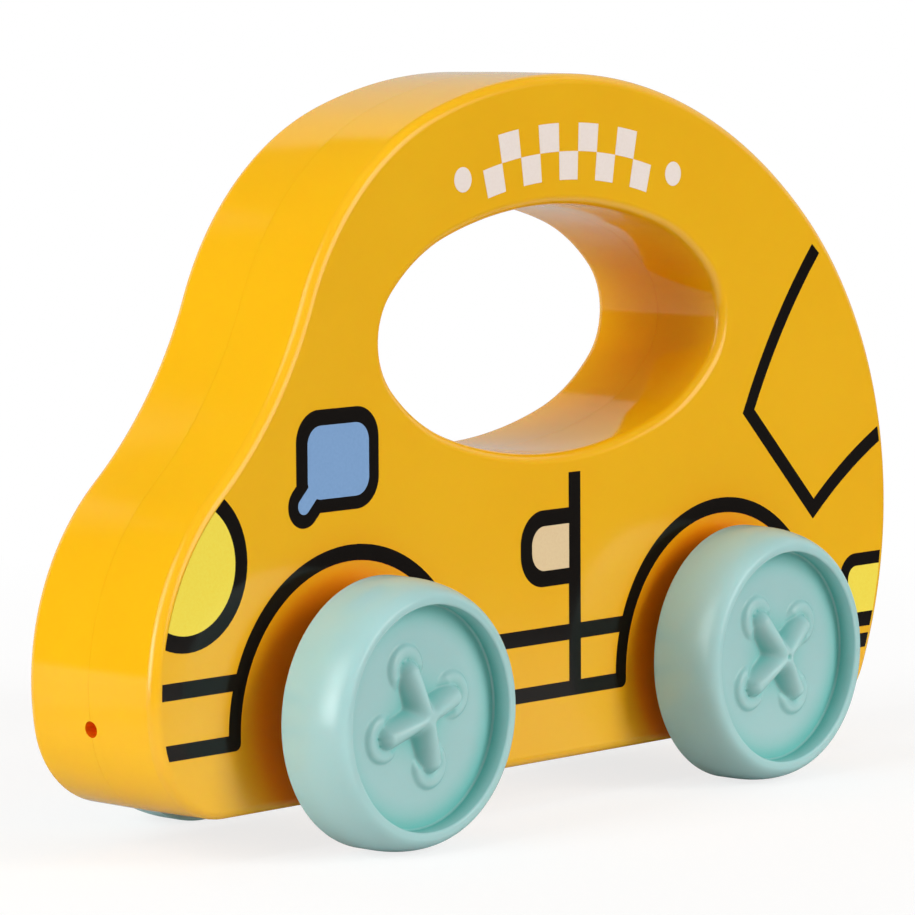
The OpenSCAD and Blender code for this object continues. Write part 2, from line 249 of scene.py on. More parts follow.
def mirrored(piece, name):
    """Twin on the other side of the car's middle plane"""
    copy = twin(piece, name)
    only(copy)
    bpy.ops.object.mode_set(mode="EDIT")
    bpy.ops.mesh.select_all(action="SELECT")
    bpy.ops.transform.resize(value=(1, -1, 1), center_override=(0, 0, 0))
    bpy.ops.mesh.normals_make_consistent(inside=False)
    bpy.ops.object.mode_set(mode="OBJECT")
    return copy


# Body: the section of the edge band is swept round the outline and round the grab hole
def edge_section():
    """Depth inside the outline and distance from the parting plane, along the band's section"""
    band = [(SEAM, 0), (0, SEAM), (DRAFT, HALF - EDGE)]
    for i in range(1, EDGE_STEPS + 1):
        band.append(polar((EDGE + DRAFT, HALF - EDGE), EDGE, 180 - 90 * i / EDGE_STEPS))
    return band


def sweep_outline(section):
    """Sweeps a section round the body, from the rear corner's lowest point"""
    pen(*[(REAR_CORNER_C[0], -y, UNDERSIDE + depth) for depth, y in section])
    for centre, radius, angle in OUTLINE:
        swing(centre, radius, angle)
    drag((REAR_CORNER_C[0] - NOSE_CORNER_C[0], 0, 0))


def sweep_hole(section):
    """Sweeps a section round the grab hole, from the lower end of its right-hand arc"""
    way = Vector(polar((0, 0), 1, -end_turn))
    start = Vector(HOLE[0][0]) + way * HOLE_END_R
    pen(*[(start.x + way.x * depth, -y, start.y + way.y * depth) for depth, y in section])
    for centre, radius, angle in HOLE:
        swing(centre, radius, angle)


def rod(name, centre, axis, radius, length):
    """Round cutter from a circle that is filled and dragged out along an axis"""
    tool = new_piece(name)
    across = Vector((1, 0, 0)) if axis.x == 0 else Vector((0, 0, 1))
    pen(Vector(centre) + across * radius)
    bpy.ops.mesh.spin(
        steps=ROD_STEPS, angle=math.tau, center=Vector(centre) * MM, axis=axis)
    weld()
    bpy.ops.mesh.edge_face_add()
    drag(axis * length)
    weld()
    bpy.ops.object.mode_set(mode="OBJECT")
    return tool


def build_left_half():
    half = new_piece("moulded_left_half")
    sweep_outline(edge_section())
    sweep_hole(edge_section())
    weld()
    cap(half, -HALF)
    cap(half, 0)
    weld()
    bpy.ops.object.mode_set(mode="OBJECT")
    inwards, across = Vector((1, 0, 0)), Vector((0, 1, 0))
    nose_x = NOSE_C[0] - NOSE_R
    cut(half, rod("vent_tool", (nose_x - CLEAR, 0, AXLE_Z), inwards, VENT_R, VENT_DEPTH + CLEAR))
    for x in AXLE_X.values():
        cut(half, rod("axle_tool", (x, -HALF - CLEAR, AXLE_Z), across, AXLE_HOLE_R, HALF + 2 * CLEAR))
    return half


left_half = build_left_half()
right_half = mirrored(left_half, "moulded_right_half")
for piece in (left_half, right_half):
    soften(piece, angle=32)


# Wheels: a button's section is spun round the axle, then the sewn cross is raised from its floor
LIP_R, WHEEL_R, WHEEL_W, RECESS = 14.86, 17.99, 10.1, 2.97
LIP_ROUND, LAND = 0.32, 0.7         # inner rounding of the lip, and its width to the crown
CROWN_W = 7.06                      # the tread curves over from the lip through this width
CORNER_R = 0.3
RIM_IN_R, RIM_DEPTH = 15.8, 7.4     # hollow back: inside of the rim, and where its slope starts
WEB_R, WEB_DEPTH = 12.9, 5.2
HUB_R, HUB_W, BORE_R, BORE_DEPTH = 4.5, 13.1, 2.0, 4.4
RELIEF_R, RELIEF_STEPS = 11.0, 55
RING_R = 6.9                        # of the thread holes round the wheel's middle
BEAD_R, BEAD_H = 2.4, 0.66          # crest of the bead round a thread hole
BEAD_OUT, BEAD_IN = 0.95, 1.7       # width of the bead's slopes
BEAD_END, BEAD_FADE = 135, 35       # degrees from the wheel's rim to the bead's end, and of its fading
THREAD_END = 6.3                    # where a thread's ridge dips into its hole
THREAD_HALF, THREAD_TAPER = 2.05, 0.15      # half width at the crossing, and what it loses outwards
THREAD_BLEND = 0.14                 # how softly neighbouring threads run into each other
PEAK, RIDGE_FALL, RIDGE_CURVE = 2.95, 0.85, 1.6     # ridge above the floor, and how it falls outwards
FLANK, FLANK_GAIN = 1.55, 0.6       # fullness of a thread's flanks, and what they gain outwards
GATE = {"front": 0, "rear": 0.4}    # depth of the pit that the mould's gate left on the peak
GATE_R = 0.45
TURN = {"front": 18.5, "rear": 36.0}


def wheel_section():
    """Radius and depth behind the lip, from the middle of the floor round to the hub's back"""
    points = [(RELIEF_R * i / RELIEF_STEPS, RECESS) for i in range(RELIEF_STEPS + 1)]
    points += [(r, RECESS) for r in (12, 13, 14)]
    corner = (LIP_R - CORNER_R, RECESS - CORNER_R)
    points += [polar(corner, CORNER_R, 90 - 90 * i / 5) for i in range(6)]
    lip = (LIP_R + LIP_ROUND, LIP_ROUND)
    points += [polar(lip, LIP_ROUND, 180 + 90 * i / 5) for i in range(6)]
    land_end = LIP_R + LAND
    for i in range(1, CROWN_STEPS + 1):
        a = math.radians(90 * i / CROWN_STEPS)
        points.append((land_end + (WHEEL_R - land_end) * math.sin(a), CROWN_W * (1 - math.cos(a))))
    back = (WHEEL_R - CORNER_R, WHEEL_W - CORNER_R)
    points += [polar(back, CORNER_R, 30 * i) for i in range(4)]
    points += [
        (RIM_IN_R, WHEEL_W), (RIM_IN_R, RIM_DEPTH), (WEB_R, WEB_DEPTH), (HUB_R, WEB_DEPTH),
        (HUB_R, HUB_W), (BORE_R, HUB_W), (BORE_R, BORE_DEPTH)]
    return points


def relief(x, z, axle):
    """Height above the floor of the crossed threads and of the beads round their holes"""
    threads, beads = [], 0
    for quarter in range(4):
        a = math.radians(TURN[axle] + 90 * quarter)
        along = x * math.cos(a) + z * math.sin(a)
        aside = z * math.cos(a) - x * math.sin(a)
        share = min(max(along / THREAD_END, 0), 1)
        reach = math.hypot(along - share * THREAD_END, aside) / (THREAD_HALF - THREAD_TAPER * share)
        crest = PEAK - RIDGE_FALL * share ** RIDGE_CURVE
        threads.append((math.exp(-reach / THREAD_BLEND), crest, FLANK + FLANK_GAIN * share))
        rho = math.hypot(along - RING_R, aside)
        way = abs(math.degrees(math.atan2(aside, along - RING_R)))
        open_side = min(1, max(0, (BEAD_END - way) / BEAD_FADE))
        slope = BEAD_OUT if rho > BEAD_R else BEAD_IN
        beads = max(beads, BEAD_H * open_side * max(0, 1 - ((rho - BEAD_R) / slope) ** 2))
    weight = sum(w for w, crest, flank in threads)
    crest = sum(w * crest for w, crest, flank in threads) / weight
    flank = sum(w * flank for w, crest, flank in threads) / weight
    reach = min(1, max(0, -THREAD_BLEND * math.log(weight)))
    height = max(beads, crest * (1 - reach ** flank))
    return height - GATE[axle] * max(0, 1 - (math.hypot(x, z) / GATE_R) ** 2)


def build_wheel(axle):
    """Left wheel of an axle, in its place"""
    wheel = new_piece(axle + "_left_button_wheel")
    x0, y0 = AXLE_X[axle], AXLE_SHIFT[axle] - WHEEL_FACE
    a = math.radians(TURN[axle])
    pen(*[(x0 + r * math.cos(a), y0 + depth, AXLE_Z + r * math.sin(a)) for r, depth in wheel_section()])
    bpy.ops.mesh.spin(
        steps=WHEEL_STEPS, angle=math.tau, center=(x0 * MM, 0, AXLE_Z * MM), axis=(0, -1, 0))
    weld()
    bpy.ops.object.mode_set(mode="OBJECT")
    floor_y = y0 + RECESS
    for vertex in wheel.data.vertices:
        vx, vy, vz = vertex.co / MM
        if abs(vy - floor_y) < SAME and math.hypot(vx - x0, vz - AXLE_Z) < RELIEF_R:
            vertex.co.y -= relief(vx - x0, vz - AXLE_Z, axle) * MM
    soften(wheel, angle=60)
    return wheel


def turned_round(piece, axle, name):
    """Twin of a left wheel, turned to the right-hand end of its axle"""
    copy = twin(piece, name)
    middle = Vector((AXLE_X[axle], AXLE_SHIFT[axle], AXLE_Z)) * MM
    turn = Matrix.Rotation(math.pi, 4, "Z")
    copy.data.transform(Matrix.Translation(middle) @ turn @ Matrix.Translation(-middle))
    return copy


wheels = {}
for axle in AXLE_X:
    wheels[axle, "left"] = build_wheel(axle)
for axle in AXLE_X:
    wheels[axle, "right"] = turned_round(wheels[axle, "left"], axle, axle + "_right_button_wheel")

# Prints: flat shapes traced with the pen, dragged to the thickness of a film of ink
FILM = {"black": 0.03, "colour": 0.05}
SINK = 0.02                 # how far a film reaches into the plastic, and over the start of the rounding
LINE = 2.15
BEYOND = 80                 # past the outline, where the print is trimmed
ARCH_Z, ARCH_R, FOOT_Z, FOOT_R = 16.62, 22.97, 14.72, 1.0
ARCH_X = {"front": -39.23, "rear": 36.72}
UPPER_SILL, LOWER_SILL = (22.53, 24.73), (14.72, 16.80)
UPPER_LAP, LOWER_LAP = 2.3, 1.0     # how far the sill lines run into the arches' lines
LAMP_C, LAMP_R, LAMP_LINE = (-69.32, 39.07), 10.77, 2.2
MIRROR_TAIL = (-48.07, 45.32), (-45.0, 48.4)
TAIL_FRAME_R, TAIL_GLASS_R = 2.9, 1.1
REAR_WINDOW = (58.25, 74.14), (42.95, 51.48), (57.78, 36.25), (75.5, 47.3)
WINDOW_TOP_RISE, WINDOW_LOW_RISE = -0.95, 0.7
DOOR_LINE = (3.95, 6.38, 15.76, 45.76)      # left, right, low, high
# Rounded rectangles: left, right, low, high, then the rounding at the left and at the right
MIRROR_FRAME = (-49.44, -33.93, 44.22, 57.75, 4.2, 4.2)
MIRROR_GLASS = (-47.34, -35.8, 45.97, 55.66, 2.5, 2.5)
HANDLE_FRAME = (-5.96, 4.5, 30.35, 40.92, 4.6, 0)
HANDLE_FILL = (-3.66, 3.95, 32.55, 38.72, 2.6, 0)
TAIL_LAMP_FRAME = (64.05, BEYOND, 17.83, 28.81, 3.6, 0)
TAIL_LAMP_FILL = (65.98, BEYOND, 19.99, 26.93, 1.9, 0)
CHEQUER_R = 66.9            # circle between the two rows of chequers
CHEQUER, CHEQUER_COLUMNS = 3.9, 9
CHEQUER_SHIFT = 0.6         # degrees from the roof's middle towards the rear
DOTS, DOT_R = ((-17.19, 86.7), (26.29, 86.05)), 1.7


def shape(level, start, *moves):
    """One filled shape on the left side: a pair of numbers is a line to that point, and a middle
    with an angle is an arc"""
    y = -HALF - level
    pen((start[0], y, start[1]))
    at = Vector(start)
    for move in moves:
        if len(move) == 2:
            drag((move[0] - at.x, 0, move[1] - at.y))
            at = Vector(move)
        else:
            centre, angle = Vector(move[:2]), move[2]
            swing(centre, (at - centre).length, angle)
            at = Vector(polar(centre, (at - centre).length, bearing(centre, at) + angle))
    bpy.ops.mesh.select_linked()
    bpy.ops.mesh.remove_doubles(threshold=WELD * MM)
    bpy.ops.mesh.edge_face_add()
    drag((0, level + SINK, 0))


def bar(level, x0, x1, z0, z1):
    shape(level, (x0, z0), (x1, z0), (x1, z1), (x0, z1))


def rounded(level, x0, x1, z0, z1, left_r, right_r):
    """Rectangle with rounded ends"""
    left, right = x0 + left_r, x1 - right_r
    moves = [(right, z0)]
    if right_r:
        moves += [(right, z0 + right_r, 90), (x1, z1 - right_r), (right, z1 - right_r, 90)]
    else:
        moves += [(x1, z1)]
    moves += [(left, z1), (left, z1 - left_r, 90), (x0, z0 + left_r), (left, z0 + left_r, 90)]
    shape(level, (left, z0), *moves)


def disc(level, x, z, r):
    shape(level, (x + r, z), (x, z, 360))


def capsule(level, a, b, r):
    """Straight stroke with round ends"""
    way = bearing(a, b)
    shape(level, polar(a, r, way + 90), (*a, 180), polar(b, r, way - 90), (*b, 180))


def mitred(level, width, *points):
    """Open stroke with mitred corners through points"""
    left, right = [], []
    for i, point in enumerate(points):
        before = bearing(points[i - 1], point) if i else bearing(point, points[1])
        after = bearing(point, points[i + 1]) if i + 1 < len(points) else before
        bend = math.radians(after - before) / 2
        reach = width / 2 / math.cos(bend)
        way = (before + after) / 2 + 90
        left.append(polar(point, reach, way))
        right.append(polar(point, -reach, way))
    shape(level, left[0], *left[1:], *reversed(right))


def arc_through(a, b, rise, steps=8):
    """Points on a shallow arc from a to b that bulges to the left of the way by rise"""
    way = Vector(b) - Vector(a)
    side = Vector((-way.y, way.x)).normalized()
    points = []
    for i in range(steps):
        t = i / steps
        points.append(tuple(Vector(a) + way * t + side * 4 * rise * t * (1 - t)))
    return points


def flat_face_tool():
    """Prism of the flat side face, which trims the ink where the edge starts to round"""
    tool = new_piece("flat_face_tool")
    inset = EDGE + DRAFT - SINK
    sweep_outline([(inset, HALF - CLEAR), (inset, HALF + CLEAR)])
    weld()
    cap(tool, CLEAR - HALF)
    cap(tool, -HALF - CLEAR)
    weld()
    bpy.ops.object.mode_set(mode="OBJECT")
    return tool


def finish_print(piece):
    """Trims a print, makes its overlapping shapes one film and drops needless points from its faces"""
    weld()
    bpy.ops.object.mode_set(mode="OBJECT")
    cut(piece, flat_face_tool(), how="INTERSECT", overlapping=True)
    bpy.ops.object.mode_set(mode="EDIT")
    bpy.ops.mesh.select_all(action="SELECT")
    bpy.ops.mesh.dissolve_limited(angle_limit=math.radians(0.1))
    bpy.ops.object.mode_set(mode="OBJECT")
    return piece


def build_black_print():
    piece = new_piece("black_line_print_left")
    level = FILM["black"]
    for x in ARCH_X.values():
        outer, inner = ARCH_R, ARCH_R - LINE
        shape(
            level, (x + outer, FOOT_Z), (x + outer, ARCH_Z), (x, ARCH_Z, 180), (x - outer, FOOT_Z),
            (x - inner - FOOT_R, FOOT_Z), (x - inner - FOOT_R, FOOT_Z + FOOT_R, 90),
            (x - inner, ARCH_Z), (x, ARCH_Z, -180), (x + inner, FOOT_Z))
    front_foot, rear_foot = ARCH_X["front"] - ARCH_R, ARCH_X["rear"] - ARCH_R
    for sill, lap in ((UPPER_SILL, UPPER_LAP), (LOWER_SILL, LOWER_LAP)):
        bar(level, -BEYOND, front_foot + lap, *sill)
        bar(level, ARCH_X["front"] + ARCH_R - lap, rear_foot + lap, *sill)
    bar(level, ARCH_X["rear"] + ARCH_R - LOWER_LAP, BEYOND, *LOWER_SILL)
    disc(level, *LAMP_C, LAMP_R)
    rounded(level, *MIRROR_FRAME)
    capsule(level, *MIRROR_TAIL, TAIL_FRAME_R)
    bar(level, *DOOR_LINE)
    rounded(level, *HANDLE_FRAME)
    rounded(level, *TAIL_LAMP_FRAME)
    top, left, low, right = REAR_WINDOW
    mitred(
        level, LINE, *arc_through(top, left, WINDOW_TOP_RISE), *arc_through(left, low, 0, 2),
        *arc_through(low, right, WINDOW_LOW_RISE), right)
    return finish_print(piece)


def build_blue_print():
    piece = new_piece("blue_mirror_print_left")
    rounded(FILM["colour"], *MIRROR_GLASS)
    capsule(FILM["colour"], *MIRROR_TAIL, TAIL_GLASS_R)
    return finish_print(piece)


def build_lamp_print():
    piece = new_piece("yellow_lamp_print_left")
    disc(FILM["colour"], *LAMP_C, LAMP_R - LAMP_LINE)
    rounded(FILM["colour"], *TAIL_LAMP_FILL)
    return finish_print(piece)


def build_handle_print():
    piece = new_piece("cream_handle_print_left")
    rounded(FILM["colour"], *HANDLE_FILL)
    return finish_print(piece)


def build_roof_print():
    """Band of chequers between two dots, on a circle round the roof's middle"""
    piece = new_piece("white_chequer_print_left")
    level = FILM["black"]
    step = math.degrees(CHEQUER / CHEQUER_R)
    first = 90 - CHEQUER_COLUMNS * step / 2 - CHEQUER_SHIFT
    for column in range(CHEQUER_COLUMNS):
        for row in range(2):
            if (column + row) % 2 == 0:
                low = CHEQUER_R + CHEQUER * (row - 1)
                a = first + column * step
                shape(
                    level, polar(ROOF_C, low, a), polar(ROOF_C, low + CHEQUER, a), (*ROOF_C, step),
                    polar(ROOF_C, low, a + step), (*ROOF_C, -step))
    for dot in DOTS:
        disc(level, *dot, DOT_R)
    return finish_print(piece)


prints = {
    "black": [build_black_print()],
    "blue": [build_blue_print()],
    "lamp": [build_lamp_print()],
    "cream": [build_handle_print()],
    "white": [build_roof_print()],
}
for pieces in prints.values():
    pieces.append(mirrored(pieces[0], pieces[0].name.replace("_left", "_right")))


# Materials
# The painted shade of the moulded plastics is at its deepest colour at this share of open surroundings
FULLEST_SHADE = 0.42          # share of the surroundings that a hollow still sees where its colour is deepest


def srgb(code):
    """Linear colour of a hex code as it looks on the screen"""
    channels = [int(code[i:i + 2], 16) / 255 for i in (0, 2, 4)]
    return (*[c / 12.92 if c <= 0.04045 else ((c + 0.055) / 1.055) ** 2.4 for c in channels], 1)


def add(tree, kind, output=None, inputs=None, **settings):
    """Adds a node with settings and gives the output asked for; inputs takes values or outputs to link"""
    made = tree.nodes.new(kind)
    for name, value in settings.items():
        setattr(made, name, value)
    for name, value in (inputs or {}).items():
        if isinstance(value, bpy.types.NodeSocket):
            tree.links.new(value, made.inputs[name])
        else:
            made.inputs[name].default_value = value
    return made.outputs[output] if output else None


def start_material(name):
    material = bpy.data.materials.new(name)
    material.use_nodes = True
    tree = material.node_tree
    tree.nodes.clear()
    place = add(tree, "ShaderNodeTexCoord", "Object")
    return material, tree, place


def patches(tree, place, size_mm, detail=2.0):
    """Soft random patches about size_mm across, from 0 to 1"""
    clouds = add(tree, "ShaderNodeTexNoise", "Fac", {
        "Vector": place, "Scale": 1 / (size_mm * MM), "Detail": detail})
    return add(tree, "ShaderNodeMapRange", "Result", {"Value": clouds, "From Min": 0.3, "From Max": 0.7})


def side_faces(tree, place):
    """1 on the side faces and their rounding, and 0 on the band between them"""
    across = add(tree, "ShaderNodeSeparateXYZ", "Y", {"Vector": place})
    reach = add(tree, "ShaderNodeMath", "Value", {0: across}, operation="ABSOLUTE")
    return add(tree, "ShaderNodeMapRange", "Result", {
        "Value": reach, "From Min": (HALF - 0.98 * EDGE) * MM, "From Max": (HALF - 0.85 * EDGE) * MM})


def moulded(name, colours, cloud_mm, painted_shade_colour, shade_reach_mm, shade_from, gloss, shine, skin_mm, skin_depth_mm,
            glow_mm, band_gloss=None, band_shine=None):
    """Moulded plastic: faint clouds of pigment, painted shade that deepens the colour in hollows where
    little of the surroundings is open, a gloss that may differ, unevenly, on the band between the side
    faces, the soft waviness of the skin, and light that travels so many mm of red, green and blue inside"""
    material, tree, place = start_material(name)
    clouds = add(tree, "ShaderNodeMixRGB", "Color", {
        "Fac": patches(tree, place, cloud_mm), "Color1": srgb(colours[0]), "Color2": srgb(colours[1])})
    # Painted shade: the colour is mixed towards a deeper one where ambient occlusion finds the surroundings
    # closed in
    openness = add(tree, "ShaderNodeAmbientOcclusion", "AO", {"Distance": shade_reach_mm * MM}, samples=8)
    painted_shade = add(tree, "ShaderNodeMapRange", "Result", {
        "Value": openness, "From Min": shade_from, "From Max": FULLEST_SHADE, "To Min": 0.0, "To Max": 1.0})
    colour = add(tree, "ShaderNodeMixRGB", "Color", {"Fac": painted_shade, "Color1": clouds, "Color2": srgb(painted_shade_colour)})
    if band_gloss:
        sides = side_faces(tree, place)
        uneven = add(tree, "ShaderNodeMapRange", "Result", {
            "Value": patches(tree, place, cloud_mm / 6), "To Min": band_gloss[0], "To Max": band_gloss[1]})
        gloss = add(tree, "ShaderNodeMapRange", "Result", {"Value": sides, "To Min": uneven, "To Max": gloss})
        shine = add(tree, "ShaderNodeMapRange", "Result", {
            "Value": sides, "From Min": 0.3, "From Max": 0.7, "To Min": band_shine, "To Max": shine})
    skin = add(tree, "ShaderNodeTexNoise", "Fac", {
        "Vector": place, "Scale": 1 / (skin_mm * MM), "Detail": 1.0})
    wavy = add(tree, "ShaderNodeBump", "Normal", {
        "Height": skin, "Strength": 1.0, "Distance": skin_depth_mm * MM})
    shader = add(tree, "ShaderNodeBsdfPrincipled", "BSDF", {
        "Base Color": colour,
        "Roughness": gloss,
        "Specular IOR Level": shine,
        "IOR": 1.5,
        "Subsurface Weight": 0.2,
        "Subsurface Radius": glow_mm,
        "Subsurface Scale": MM,
        "Normal": wavy})
    add(tree, "ShaderNodeOutputMaterial", None, {"Surface": shader})
    return material


def ink(name, colours, gloss):
    """Pad-printed ink: an even film with a fine grain and a little less gloss than the plastic"""
    material, tree, place = start_material(name)
    grain = add(tree, "ShaderNodeMixRGB", "Color", {
        "Fac": patches(tree, place, 0.4, 4.0), "Color1": srgb(colours[0]), "Color2": srgb(colours[1])})
    roughness = add(tree, "ShaderNodeMapRange", "Result", {
        "Value": patches(tree, place, 3.0), "To Min": gloss[0], "To Max": gloss[1]})
    shader = add(tree, "ShaderNodeBsdfPrincipled", "BSDF", {
        "Base Color": grain, "Roughness": roughness, "Specular IOR Level": 0.3, "IOR": 1.5})
    add(tree, "ShaderNodeOutputMaterial", None, {"Surface": shader})
    return material


def drawn_steel():
    """Bright rod with fine streaks along its length, as it comes from the drawing die"""
    material, tree, place = start_material("steel_rod_cold_drawn")
    stretched = add(tree, "ShaderNodeMapping", "Vector", {"Vector": place, "Scale": (1, 0.03, 1)})
    ridges = add(tree, "ShaderNodeTexNoise", "Fac", {
        "Vector": stretched, "Scale": 1 / (0.25 * MM), "Detail": 4.0})
    bump = add(tree, "ShaderNodeBump", "Normal", {"Height": ridges, "Strength": 1.0, "Distance": 0.004 * MM})
    streaks = patches(tree, stretched, 0.25, 4.0)
    colour = add(tree, "ShaderNodeMixRGB", "Color", {
        "Fac": streaks, "Color1": srgb("A9ABAE"), "Color2": srgb("C4C6C9")})
    roughness = add(tree, "ShaderNodeMapRange", "Result", {"Value": streaks, "To Min": 0.22, "To Max": 0.38})
    shader = add(tree, "ShaderNodeBsdfPrincipled", "BSDF", {
        "Base Color": colour, "Metallic": 1.0, "Roughness": roughness, "Normal": bump})
    add(tree, "ShaderNodeOutputMaterial", None, {"Surface": shader})
    return material


# Glossy yellow that the eye reads as thick, saturated toy plastic, with painted shade that turns it
# orange in its hollows, and a broader sheen on the side faces than on the polished band
yellow_abs = moulded(
    "yellow_ABS_injection_moulded", colours=("F4B70C", "F7BC10"), cloud_mm=30,
    painted_shade_colour="FF7E00", shade_reach_mm=30, shade_from=0.8, gloss=0.2, shine=1.0,
    skin_mm=5.0, skin_depth_mm=0.0015, glow_mm=(0.8, 0.35, 0.1), band_gloss=(0.06, 0.09), band_shine=0.42)
# Satin mint with a soft sheen, duller than the body, with painted shade that deepens it round the threads
mint_pp = moulded(
    "mint_PP_injection_moulded_satin", colours=("A3CCCC", "A7D0D0"), cloud_mm=14,
    painted_shade_colour="50BEB5", shade_reach_mm=4.0, shade_from=0.95, gloss=0.27, shine=0.9,
    skin_mm=0.8, skin_depth_mm=0.002, glow_mm=(0.3, 1.2, 1.1))
# Inks: crisp black outlines and flat fills with a trace of grain
inks = {
    "black": ink("black_pad_printed_ink", ("0F0C0A", "14100D"), (0.08, 0.13)),
    "blue": ink("blue_pad_printed_ink", ("80A5D3", "86ABD8"), (0.14, 0.2)),
    "lamp": ink("lemon_pad_printed_ink", ("F8DF4E", "FAE557"), (0.14, 0.2)),
    "cream": ink("cream_pad_printed_ink", ("E6CBA0", "EAD1A6"), (0.14, 0.2)),
    "white": ink("white_pad_printed_ink", ("F3E6DE", "F7EBE4"), (0.16, 0.22)),
}
# Grey rod with bright streaks along it, which only shows between the body and the hubs
steel = drawn_steel()


def dress(piece, material):
    piece.data.materials.clear()
    piece.data.materials.append(material)


for piece, node in ((left_half, "left_shell"), (right_half, "right_shell")):
    dress(piece, yellow_abs)
    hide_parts(node)
    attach(piece, "car_body")
for (axle, side), piece in wheels.items():
    dress(piece, mint_pp)
    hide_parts(f"{axle}_{side}_wheel")
    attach(piece, axle + "_wheelset")
for colour, pieces in prints.items():
    for piece in pieces:
        dress(piece, inks[colour])
        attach(piece, "car_body")
for axle in AXLE_X:
    rod_node = frame["nodes"][axle + "_axle"]
    for i in range(len(rod_node.data.materials)):
        rod_node.data.materials[i] = steel

# Stage: a white sweep that keeps the shadow near the car, soft boxes and the photo's camera. Places
# and distances are in metres here
WHITE, WARM = (1, 1, 1, 1), (1, 0.95, 0.9, 1)
SHADOW_R, SHEET_R, WHITE_R = 0.12, 0.22, 0.3    # ends of the shadow, the lighting sheet and the paper
BACKWARDS = (0.735, 0.678, 0)       # level direction away from the camera
FORWARDS = (-0.735, -0.678, 0)
BACKDROP_TOP = 0.655, 0.675         # upper edge of the backdrop, as the sine of its elevation
BACKDROP_SIDE = 0.25, 0.4           # fading sides, as the cosine of the angle from its middle
CARDS = (177, 3), (177, 30), (290, 18)      # azimuth and elevation of the soft boxes in mirror images
CARD_RIM = 0.9, 0.96                # fading rim, as the cosine of the angle from a card's middle
CARD_GLOW, DIM_GLOW = 1.6, 0.1      # a card and the room round it, in mirror images
AIM = Vector((0, 0, 0.05))          # the middle of the car, where the lamps point


def seen_directly(tree):
    """1 for what the camera sees, also through a clear piece, and 0 for light and mirror images"""
    camera = add(tree, "ShaderNodeLightPath", "Is Camera Ray")
    through = add(tree, "ShaderNodeLightPath", "Is Transmission Ray")
    return add(tree, "ShaderNodeMath", "Value", {0: camera, 1: through}, operation="MAXIMUM")


def white_floor():
    bpy.ops.object.select_all(action="DESELECT")
    bpy.ops.mesh.primitive_plane_add(size=40)
    floor = bpy.context.object
    floor.name = "studio_floor"
    # The floor casts no shadow rays, so the painted shade in the plastic's hollows doesn't count it
    floor.visible_shadow = False        # so that the plastic's hollows aren't counted against the floor
    material, tree, place = start_material("white_paper_sweep")
    # Paper that carries the shadow near the car and runs out into plain white
    away = add(tree, "ShaderNodeVectorMath", "Value", {0: place}, operation="LENGTH")
    far = add(tree, "ShaderNodeMapRange", "Result", {
        "Value": away, "From Min": SHADOW_R, "From Max": WHITE_R})
    grain = add(tree, "ShaderNodeMixRGB", "Color", {
        "Fac": patches(tree, place, 1.5, 4.0), "Color1": srgb("868686"), "Color2": srgb("8A8A8A")})
    paper = add(tree, "ShaderNodeBsdfDiffuse", "BSDF", {"Color": grain})
    lift = add(tree, "ShaderNodeEmission", "Emission", {"Color": WHITE, "Strength": 0.77})
    near = add(tree, "ShaderNodeAddShader", "Shader", {0: paper, 1: lift})
    white = add(tree, "ShaderNodeEmission", "Emission", {"Color": WHITE, "Strength": 1.0})
    seen = add(tree, "ShaderNodeMixShader", "Shader", {0: far, 1: near, 2: white})
    # The car itself is lit and mirrored by a small sheet of paper in a dim room
    close = add(tree, "ShaderNodeMapRange", "Result", {
        "Value": away, "From Min": SHADOW_R, "From Max": SHEET_R, "To Min": 0.62, "To Max": 0.1})
    depth = add(tree, "ShaderNodeSeparateXYZ", "Y", {"Vector": place})
    behind = add(tree, "ShaderNodeMapRange", "Result", {
        "Value": depth, "From Min": 0.02, "From Max": 0.08, "To Min": 0.0, "To Max": 0.75})
    sheet = add(tree, "ShaderNodeMath", "Value", {0: close, 1: behind}, operation="MAXIMUM")
    light = add(tree, "ShaderNodeBsdfDiffuse", "BSDF", {"Color": sheet})
    both = add(tree, "ShaderNodeMixShader", "Shader", {0: seen_directly(tree), 1: light, 2: seen})
    add(tree, "ShaderNodeOutputMaterial", None, {"Surface": both})
    dress(floor, material)


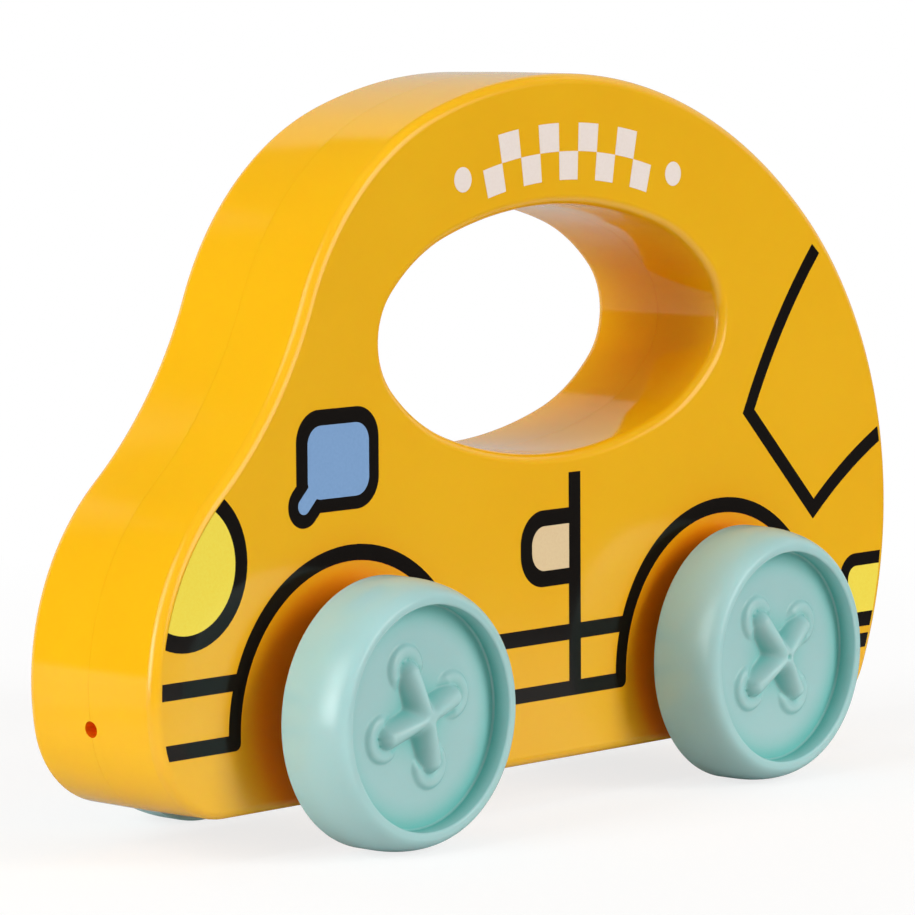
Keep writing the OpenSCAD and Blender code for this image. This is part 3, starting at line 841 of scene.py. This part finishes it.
def studio_world():
    """White to the camera; for light and mirror images, a white backdrop behind the car in a dim room"""
    world = bpy.data.worlds.new("studio_room")
    bpy.context.scene.world = world
    world.use_nodes = True
    tree = world.node_tree
    tree.nodes.clear()
    way = add(tree, "ShaderNodeTexCoord", "Generated")
    soft = add(tree, "ShaderNodeLightPath", "Is Diffuse Ray")
    # Backdrop: upright behind the car, up to a clear upper edge that the roof mirrors
    height = add(tree, "ShaderNodeSeparateXYZ", "Z", {"Vector": way})
    low = add(tree, "ShaderNodeMapRange", "Result", {
        "Value": height, "From Min": BACKDROP_TOP[0], "From Max": BACKDROP_TOP[1],
        "To Min": 1.0, "To Max": 0.0})
    ahead = add(tree, "ShaderNodeVectorMath", "Value", {0: way, 1: BACKWARDS}, operation="DOT_PRODUCT")
    behind = add(tree, "ShaderNodeMapRange", "Result", {
        "Value": ahead, "From Min": BACKDROP_SIDE[0], "From Max": BACKDROP_SIDE[1]})
    backdrop = add(tree, "ShaderNodeMath", "Value", {0: low, 1: behind}, operation="MULTIPLY")
    white = add(tree, "ShaderNodeMapRange", "Result", {"Value": soft, "To Min": 0.58, "To Max": 0.7})
    sheet = add(tree, "ShaderNodeBackground", "Background", {"Color": WHITE, "Strength": white})
    # Room: a soft fill from the camera's side, and dim in mirror images but for the soft boxes' cards
    front = add(tree, "ShaderNodeVectorMath", "Value", {0: way, 1: FORWARDS}, operation="DOT_PRODUCT")
    fill = add(tree, "ShaderNodeMapRange", "Result", {
        "Value": front, "From Min": 0.2, "From Max": 0.9, "To Min": 0.22, "To Max": 0.55})
    cards = DIM_GLOW
    for azimuth, elevation in CARDS:
        level = math.cos(math.radians(elevation))
        towards = (*polar((0, 0), level, azimuth), math.sin(math.radians(elevation)))
        near = add(tree, "ShaderNodeVectorMath", "Value", {0: way, 1: towards}, operation="DOT_PRODUCT")
        card = add(tree, "ShaderNodeMapRange", "Result", {
            "Value": near, "From Min": CARD_RIM[0], "From Max": CARD_RIM[1],
            "To Min": 0.0, "To Max": CARD_GLOW})
        cards = add(tree, "ShaderNodeMath", "Value", {0: card, 1: cards}, operation="MAXIMUM")
    glow = add(tree, "ShaderNodeMapRange", "Result", {"Value": soft, "To Min": cards, "To Max": fill})
    room = add(tree, "ShaderNodeBackground", "Background", {"Color": WARM, "Strength": glow})
    light = add(tree, "ShaderNodeMixShader", "Shader", {0: backdrop, 1: room, 2: sheet})
    seen = add(tree, "ShaderNodeBackground", "Background", {"Color": WHITE, "Strength": 1.0})
    both = add(tree, "ShaderNodeMixShader", "Shader", {0: seen_directly(tree), 1: light, 2: seen})
    add(tree, "ShaderNodeOutputWorld", None, {"Surface": both})


def soft_box(name, azimuth, height, distance, size, watts, mirror_only=False):
    """Area lamp that looks at the car from an azimuth, measured from +X towards +Y. It gives soft
    light, or only its mirror image"""
    place = Vector((*polar((0, 0), distance, azimuth), height))
    bpy.ops.object.light_add(type="AREA", location=place)
    box = bpy.context.object
    box.name = name
    box.data.shape = "RECTANGLE"
    box.data.size, box.data.size_y = size
    box.data.energy = watts
    box.visible_camera = False
    box.visible_diffuse = not mirror_only
    box.visible_glossy = mirror_only
    box.rotation_euler = (AIM - place).to_track_quat("-Z", "Y").to_euler()


white_floor()
studio_world()
soft_box("soft_box_left", 177, 0.46, 1.2, (0.42, 1.0), 10.5)
soft_box("soft_box_right", 290, 0.44, 1.2, (0.42, 1.0), 10.0)
soft_box("strip_left", 180, 0.075, 0.38, (0.14, 0.15), 0.12, mirror_only=True)
soft_box("soft_box_behind", 95, 0.3, 1.2, (0.6, 0.9), 4.0)
soft_box("panel_overhead", 225, 1.3, 0.35, (0.5, 0.5), 0.8)

CAMERA_TARGET = Vector((-35.13, -27.18, 51.69)) * MM
CAMERA_AZIMUTH, CAMERA_ELEVATION, CAMERA_ROLL = -47.31, 5.56, -0.34
CAMERA_DISTANCE = 647.6 * MM
FOCAL_PX, FRAME_PX, SENSOR = 4993, 915, 36
az, el = math.radians(CAMERA_AZIMUTH), math.radians(CAMERA_ELEVATION)
back = Vector((math.sin(az) * math.cos(el), -math.cos(az) * math.cos(el), math.sin(el)))
roll = Matrix.Rotation(math.radians(CAMERA_ROLL), 3, "Z").to_quaternion()
bpy.ops.object.camera_add(location=CAMERA_TARGET + back * CAMERA_DISTANCE)
camera = bpy.context.object
camera.rotation_euler = (back.to_track_quat("Z", "Y") @ roll).to_euler()
camera.data.sensor_width = SENSOR
camera.data.lens = FOCAL_PX / FRAME_PX * SENSOR
bpy.context.scene.camera = camera
bpy.context.scene.view_settings.view_transform = "Standard"
